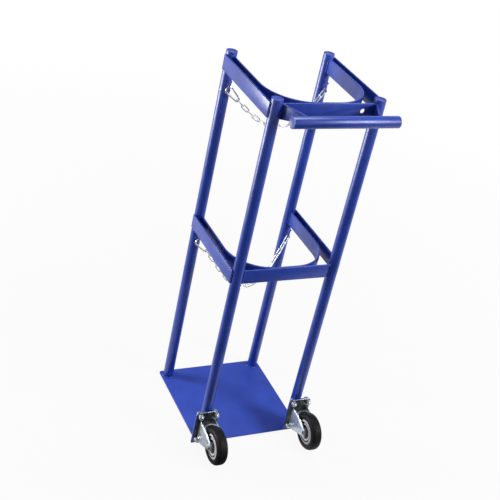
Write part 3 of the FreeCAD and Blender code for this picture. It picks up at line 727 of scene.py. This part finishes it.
def chainEye():
    straight = (eyeLook["reach"] - eyeLook["bend"]) * mm
    half, bend, root = eyeLook["half"] * mm, eyeLook["bend"] * mm, eyeLook["root"] * mm
    rod = startRod((0, root, half), (0, -1, 0), eyeLook["wire"] * mm, eyeLook["sides"])
    extrude((0, -straight - root, 0))
    turnRod((0, -straight, half - bend), (1, 0, 0), math.pi / 2, eyeLook["bendSteps"])
    extrude((0, 0, -2 * (half - bend)))
    turnRod((0, -straight, bend - half), (1, 0, 0), math.pi / 2, eyeLook["bendSteps"])
    extrude((0, straight + root, 0))
    endEdit()
    parts = [rod]
    for level in (half, -half):
        parts.append(addRing(eyeLook["weld"] * mm, eyeLook["weldBead"] * mm, eyeLook["weldAround"],
                             eyeLook["weldSides"], (0, 0, level), (math.pi / 2, 0, 0)))
    return settle(joinPieces(parts), "eyePattern", smoothAngle=40)


eyePattern = chainEye()
for level in ("upper", "lower"):
    for side in ("left", "right"):
        nodeName = f"{level}_chain_eye_{side}"
        low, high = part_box(nodeName)
        spot = Vector(((low.x + high.x) / 2, high.y, (low.z + high.z) / 2))
        eye = copyPiece(eyePattern, Matrix.Translation(spot))
        eye.name = f"{level}ChainEye{side.capitalize()}"
        handOver(eye, "frame", "blue_paint", paint, nodeName)
dropPiece(eyePattern)
print("chain eyes ready")


# safety chains: one welded link, copied to each link's place

linkLook = {"wire": 1.5, "bend": 4.5, "stretch": 8.5, "around": 32, "sides": 12, "straightRun": 6.0,
            "weld": 1.22, "weldCuts": 4, "weldHalf": 1.0, "smoothAngle": 60}


def weldedLink():
    link = addRing(linkLook["bend"] * mm, linkLook["wire"] * mm, linkLook["around"], linkLook["sides"])
    startEdit(link)
    for side in (1, -1):
        pickVerts(link, lambda spot: spot.x * side > near)
        bpy.ops.transform.translate(value=(side * linkLook["stretch"] * mm, 0, 0))
    pickEdges(link, lambda a, b: min(a.y, b.y) > 0 and abs(a.x - b.x) > linkLook["straightRun"] * mm)
    bpy.ops.mesh.subdivide(number_cuts=linkLook["weldCuts"])
    pickVerts(link, lambda spot: spot.y > 0 and abs(spot.x) < linkLook["weldHalf"] * mm)
    bpy.ops.transform.resize(value=(1, linkLook["weld"], linkLook["weld"]),
                             center_override=(0, linkLook["bend"] * mm, 0))  # the weld on one side
    endEdit()
    return settle(link, "linkPattern", linkLook["smoothAngle"])


def linkPlaces(nodeName):
    group = mergedCopy(nodeName)
    startEdit(group)
    bpy.ops.mesh.separate(type="LOOSE")
    endEdit()
    places = []
    for part in list(bpy.context.selected_objects):
        spots = np.array([vert.co for vert in part.data.vertices])
        middle = spots.mean(0)
        axes = np.linalg.eigh(np.cov((spots - middle).T))[1]  # from the thinnest to the longest way
        along = axes[:, 2] * (1 if axes[0, 2] > 0 else -1)
        across = axes[:, 1] * (1 if axes[:, 1].sum() > 0 else -1)
        turned = np.column_stack((along, across, np.cross(along, across)))
        places.append(Matrix.Translation(Vector(middle)) @ Matrix(turned.tolist()).to_4x4())
        dropPiece(part)
    return sorted(places, key=lambda place: place.translation.x)


linkPattern = weldedLink()
for level in ("upper", "lower"):
    copies = [copyPiece(linkPattern, place) for place in linkPlaces(f"{level}_chain_links")]
    links = settle(joinPieces(copies), f"{level}ChainLinks", linkLook["smoothAngle"])
    handOver(links, f"{level}_chain", "chain_zinc", chainZinc, f"{level}_chain_links")
dropPiece(linkPattern)
print("chains ready")


# snap hooks: bent wire, ears with a riveted pin, sprung gate

hookLook = {"wire": 2.25, "wide": 9.0, "wideSteps": 20, "narrow": 5.0, "narrowSteps": 14, "length": 54.0,
            "nose": 7.0, "heel": 1.5, "sides": 16, "endEdge": 0.8, "pivotBack": 3.7,
            "ear": 1.8, "earThickness": 1.0, "earGap": 1.15, "earStretch": 3.4, "earEdge": 0.25,
            "earSides": 24, "rivet": 1.35, "rivetSide": 2.1, "rivetFlat": 0.5, "rivetSides": 16,
            "rivetRings": 8, "pin": 0.8, "pinLength": 4.2, "pinSides": 16, "gateEdge": 0.5, "gateSteps": 3}


def snapHook():
    wide, narrow, wire = hookLook["wide"], hookLook["narrow"], hookLook["wire"]
    taper = narrow - wide
    centres = hookLook["length"] - 2 * wire - wide - narrow
    lean = math.asin(-taper / centres)
    straight = centres * math.cos(lean)
    rod = startRod((hookLook["nose"] * mm, 0, 0), (-1, 0, 0), wire * mm, hookLook["sides"])
    extrude((-hookLook["nose"] * mm, 0, 0))
    turnRod((0, -wide * mm, 0), (0, 0, 1), -(math.pi + 2 * lean), hookLook["wideSteps"])
    leave = math.radians(270) + 2 * lean
    extrude(Vector((straight + taper * math.cos(leave), taper * math.sin(leave) - taper, 0)) * mm)
    turnRod((straight * mm, -narrow * mm, 0), (0, 0, 1), -(math.pi - 2 * lean), hookLook["narrowSteps"])
    extrude((-hookLook["heel"] * mm, 0, 0))
    endEdit()
    softenEdges(rod, hookLook["endEdge"], segments=3, angle=60)
    pivot = straight - hookLook["pivotBack"]
    parts = [rod]
    for side in (-1, 1):
        level = side * (hookLook["earGap"] + hookLook["earThickness"] / 2) * mm
        ear = addRound(hookLook["ear"] * mm, hookLook["earThickness"] * mm, hookLook["earSides"],
                       (pivot * mm, 0, level))
        startEdit(ear)
        pickVerts(ear, lambda spot: spot.x > pivot * mm + near)
        bpy.ops.transform.translate(value=(hookLook["earStretch"] * mm, 0, 0))
        endEdit()
        softenEdges(ear, hookLook["earEdge"], angle=40)
        bpy.ops.mesh.primitive_uv_sphere_add(segments=hookLook["rivetSides"],
                                             ring_count=hookLook["rivetRings"],
                                             radius=hookLook["rivet"] * mm,
                                             location=(pivot * mm, 0, side * hookLook["rivetSide"] * mm),
                                             scale=(1, 1, hookLook["rivetFlat"]))
        rivet = bpy.context.object
        applyPlace(rivet)
        parts += [ear, rivet]
    parts.append(addRound(hookLook["pin"] * mm, hookLook["pinLength"] * mm, hookLook["pinSides"],
                          (pivot * mm, 0, 0)))
    return settle(joinPieces(parts), "hookPattern", smoothAngle=45), pivot


hookPattern, hookPivot = snapHook()
for level in ("upper", "lower"):
    pin = jointSpots[f"{level}_gate_hinge"]
    gateSpots = np.array([vert.co for vert in nodes[f"{level}_hook_gate"].data.vertices])
    along = (pin - Vector(gateSpots.mean(0))).normalized()
    normal = Vector((0, -1, 0))
    place = Matrix((along, normal.cross(along), normal)).transposed().to_4x4()
    place.translation = pin - along * hookPivot * mm
    hook = copyPiece(hookPattern, place)
    hook.name = f"{level}SnapHook"
    handOver(hook, f"{level}_chain", "chain_zinc", chainZinc, f"{level}_snap_hook")
    gate = softCopy(f"{level}_hook_gate", f"{level}HookGate", hookLook["gateEdge"], hookLook["gateSteps"])
    handOver(gate, f"{level}_gate", "chain_zinc", chainZinc, f"{level}_hook_gate")
dropPiece(hookPattern)
print("snap hooks ready")


# weld beads: rippled rods along the seams and rings round the post feet

weldLook = {"ripple": 2.2, "narrow": 0.75, "swell": 1.3, "sides": 10, "bar": 1.9, "barLength": 33.0,
            "mountLength": 88.0, "mountShift": 8.2, "mountBehind": 12.5, "mountRise": 10.0,
            "grip": 1.6, "gripLength": 13.0, "gripAcross": 88.4, "gripShift": 2.9, "gripGap": 0.2,
            "foot": 15.0, "footBead": 2.3, "footAround": 64, "footRise": 0.6,
            "footRipple": (1.012, 1.012, 0.82)}
# seams by the bars: rear (-1) or front (1) post, then the way outward from its middle on X and Y
barSeams = ((-1, 15.0, 1.0), (-1, 12.6, -8.6), (1, 15.0, 1.0), (1, 12.6, -8.6),  # side bars
            (-1, -13.2, 7.8), (-1, -14.3, 2.1),  # rear bar
            (1, -5.5, -13.6), (1, -0.4, -14.6))  # saddle ends
armSeams = ((-1, -9.1, 11.4),)  # handle arm


def weldBead(length, radius):
    count = max(1, round(length / weldLook["ripple"]))
    rod = startRod((0, 0, 0), (0, 0, 1), weldLook["narrow"] * radius * mm, weldLook["sides"])
    rippleRod(0.0, length / count, count, weldLook["swell"])
    endEdit()
    return rod


def footRing():
    around = weldLook["footAround"]
    ring = addRing(weldLook["foot"] * mm, weldLook["footBead"] * mm, around, weldLook["sides"])
    startEdit(ring)
    pickVerts(ring, lambda spot: round(math.atan2(spot.y, spot.x) / (2 * math.pi / around)) % 2 == 0)
    bpy.ops.transform.resize(value=weldLook["footRipple"], center_override=(0, 0, 0))
    endEdit()
    return ring


def frameWelds():
    low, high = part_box("rear_post_right")
    postX = (low.x + high.x) / 2 / mm
    postY = -(low.y + high.y) / 2 / mm
    upright = weldBead(weldLook["barLength"], weldLook["bar"])
    tall = weldBead(weldLook["mountLength"], weldLook["bar"])
    short = weldBead(weldLook["gripLength"], weldLook["grip"])
    ring = footRing()
    places = []
    for nodeName, seams in (("upper_rear_bar", barSeams + armSeams), ("lower_rear_bar", barSeams)):
        low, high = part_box(nodeName)
        base = (low.z + high.z) / 2 - weldLook["barLength"] / 2 * mm
        for side in (-1, 1):
            for row, across, along in seams:
                places.append((upright, side * (postX + across) * mm, row * (postY + along) * mm, base))
    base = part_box("caster_mounts")[0].z + weldLook["mountRise"] * mm
    for side in (-1, 1):
        for shift in (-weldLook["mountShift"], weldLook["mountShift"]):
            places.append((tall, side * (postX + shift) * mm, (-postY - weldLook["mountBehind"]) * mm, base))
    low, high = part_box("handle_tube")
    base = (low.z + high.z) / 2 - weldLook["gripLength"] / 2 * mm
    for side in (-1, 1):
        for shift in (-weldLook["gripShift"], weldLook["gripShift"]):
            x = side * (weldLook["gripAcross"] + shift) * mm
            places.append((short, x, high.y + weldLook["gripGap"] * mm, base))
    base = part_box("base_plate")[1].z + weldLook["footRise"] * mm
    for x in (-postX, postX):
        for y in (-postY, postY):
            places.append((ring, x * mm, y * mm, base))
    beads = [copyPiece(pattern, Matrix.Translation(spot)) for pattern, *spot in places]
    for pattern in (upright, tall, short, ring):
        dropPiece(pattern)
    return settle(joinPieces(beads), "frameWelds", smoothAngle=60)


handOver(frameWelds(), "frame", "blue_paint", paint)
print("welds ready")


# camera, light and floor, in metres

cameraPlace = {"spot": (-1.1843, -1.9446, 1.8584), "target": (-0.0075, 0.0527, 0.4742), "roll": 13.057,
               "lens": 73.62, "sensor": 36}
lamps = (  # name, place, target, width, watts
    ("leftSoftbox", (-2.5, 1.25, 0.6), (0, 0, 0.6), 1.0, 92),
    ("rightSoftbox", (2.0, -2.2, 2.3), (0, 0, 0.6), 1.2, 105),
    ("topSoftbox", (0.1, 0.2, 3.0), (0, 0, 0.4), 1.1, 44),
)
studioLook = {"skyDiffuse": 0.06, "ceiling": 0.3, "ceilingStart": 0.1, "ceilingEnd": 0.5,
              "floorSize": 16, "floorColour": 0.5, "floorRoughness": 0.9,
              "glowNear": 0.92, "glowFar": 1.0, "nearEdge": 0.6, "farEdge": 2.5,
              "front": (-0.52, -0.85, 0), "frontStart": 0.18, "frontEnd": 0.32}


def aimAt(name, data, spot, target):
    thing = bpy.data.objects.new(name, data)
    bpy.context.scene.collection.objects.link(thing)
    thing.location = spot
    thing.rotation_mode = "QUATERNION"
    thing.rotation_quaternion = (Vector(target) - Vector(spot)).to_track_quat("-Z", "Y")
    return thing


def seenRays(tree):
    rays = tree.nodes.new("ShaderNodeLightPath")
    mirrored = reckon(tree, "MAXIMUM", rays.outputs["Is Glossy Ray"], rays.outputs["Is Transmission Ray"])
    byCamera = rays.outputs["Is Camera Ray"]
    return byCamera, reckon(tree, "MAXIMUM", byCamera, mirrored)


cameraData = bpy.data.cameras.new("camera")
cameraData.lens = cameraPlace["lens"]
cameraData.sensor_width = cameraPlace["sensor"]
camera = aimAt("camera", cameraData, cameraPlace["spot"], cameraPlace["target"])
roll = Matrix.Rotation(math.radians(cameraPlace["roll"]), 4, "Z").to_quaternion()
camera.rotation_quaternion = camera.rotation_quaternion @ roll
bpy.context.scene.camera = camera

for name, spot, target, width, watts in lamps:
    light = bpy.data.lights.new(name, "AREA")
    light.energy = watts
    light.size = width
    aimAt(name, light, spot, target)

world = bpy.data.worlds.new("studio")
bpy.context.scene.world = world
world.use_nodes = True
tree = world.node_tree
sky = tree.nodes["Background"]
sky.inputs["Color"].default_value = (1, 1, 1, 1)
heading = tree.nodes.new("ShaderNodeTexCoord")
byCamera, shown = seenRays(tree)
ceiling = spread(tree, axesOf(tree, heading.outputs["Generated"])["Z"], 1.0, studioLook["ceiling"],
                 studioLook["ceilingStart"], studioLook["ceilingEnd"])  # white backdrop, dimmer ceiling
level = tree.nodes.new("ShaderNodeMix")
level.inputs["A"].default_value = studioLook["skyDiffuse"]
tree.links.new(shown, level.inputs["Factor"])
tree.links.new(reckon(tree, "MAXIMUM", ceiling, byCamera), level.inputs["B"])
tree.links.new(level.outputs["Result"], sky.inputs["Strength"])

bpy.ops.object.select_all(action="DESELECT")
bpy.ops.mesh.primitive_plane_add(size=studioLook["floorSize"], location=(0, 0, 0))
floor = bpy.context.object
floor.name = "studioFloor"
floorMaterial, tree, base, floorSpots = startMaterial("studioFloor")
base.inputs["Base Color"].default_value = (*(studioLook["floorColour"],) * 3, 1)
base.inputs["Roughness"].default_value = studioLook["floorRoughness"]
base.inputs["Specular IOR Level"].default_value = 0.0
glow = tree.nodes.new("ShaderNodeEmission")
reach = tree.nodes.new("ShaderNodeVectorMath")
reach.operation = "LENGTH"
tree.links.new(floorSpots, reach.inputs[0])
whiteness = spread(tree, reach.outputs["Value"], studioLook["glowNear"], studioLook["glowFar"],
                   studioLook["nearEdge"], studioLook["farEdge"])  # the shadow stays near the object
forward = tree.nodes.new("ShaderNodeVectorMath")
forward.operation = "DOT_PRODUCT"
forward.inputs[1].default_value = studioLook["front"]
tree.links.new(floorSpots, forward.inputs[0])
backdrop = spread(tree, forward.outputs["Value"], 1, 0, studioLook["frontStart"], studioLook["frontEnd"])
byCamera, shown = seenRays(tree)
tree.links.new(reckon(tree, "MAXIMUM", byCamera, backdrop), glow.inputs["Strength"])
blend = tree.nodes.new("ShaderNodeMixShader")
tree.links.new(reckon(tree, "MULTIPLY", shown, whiteness), blend.inputs["Fac"])
tree.links.new(base.outputs[0], blend.inputs[1])
tree.links.new(glow.outputs[0], blend.inputs[2])
tree.links.new(blend.outputs[0], tree.nodes["Material Output"].inputs["Surface"])
floor.data.materials.append(floorMaterial)
bpy.context.scene.view_settings.view_transform = "Standard"
print("studio ready")
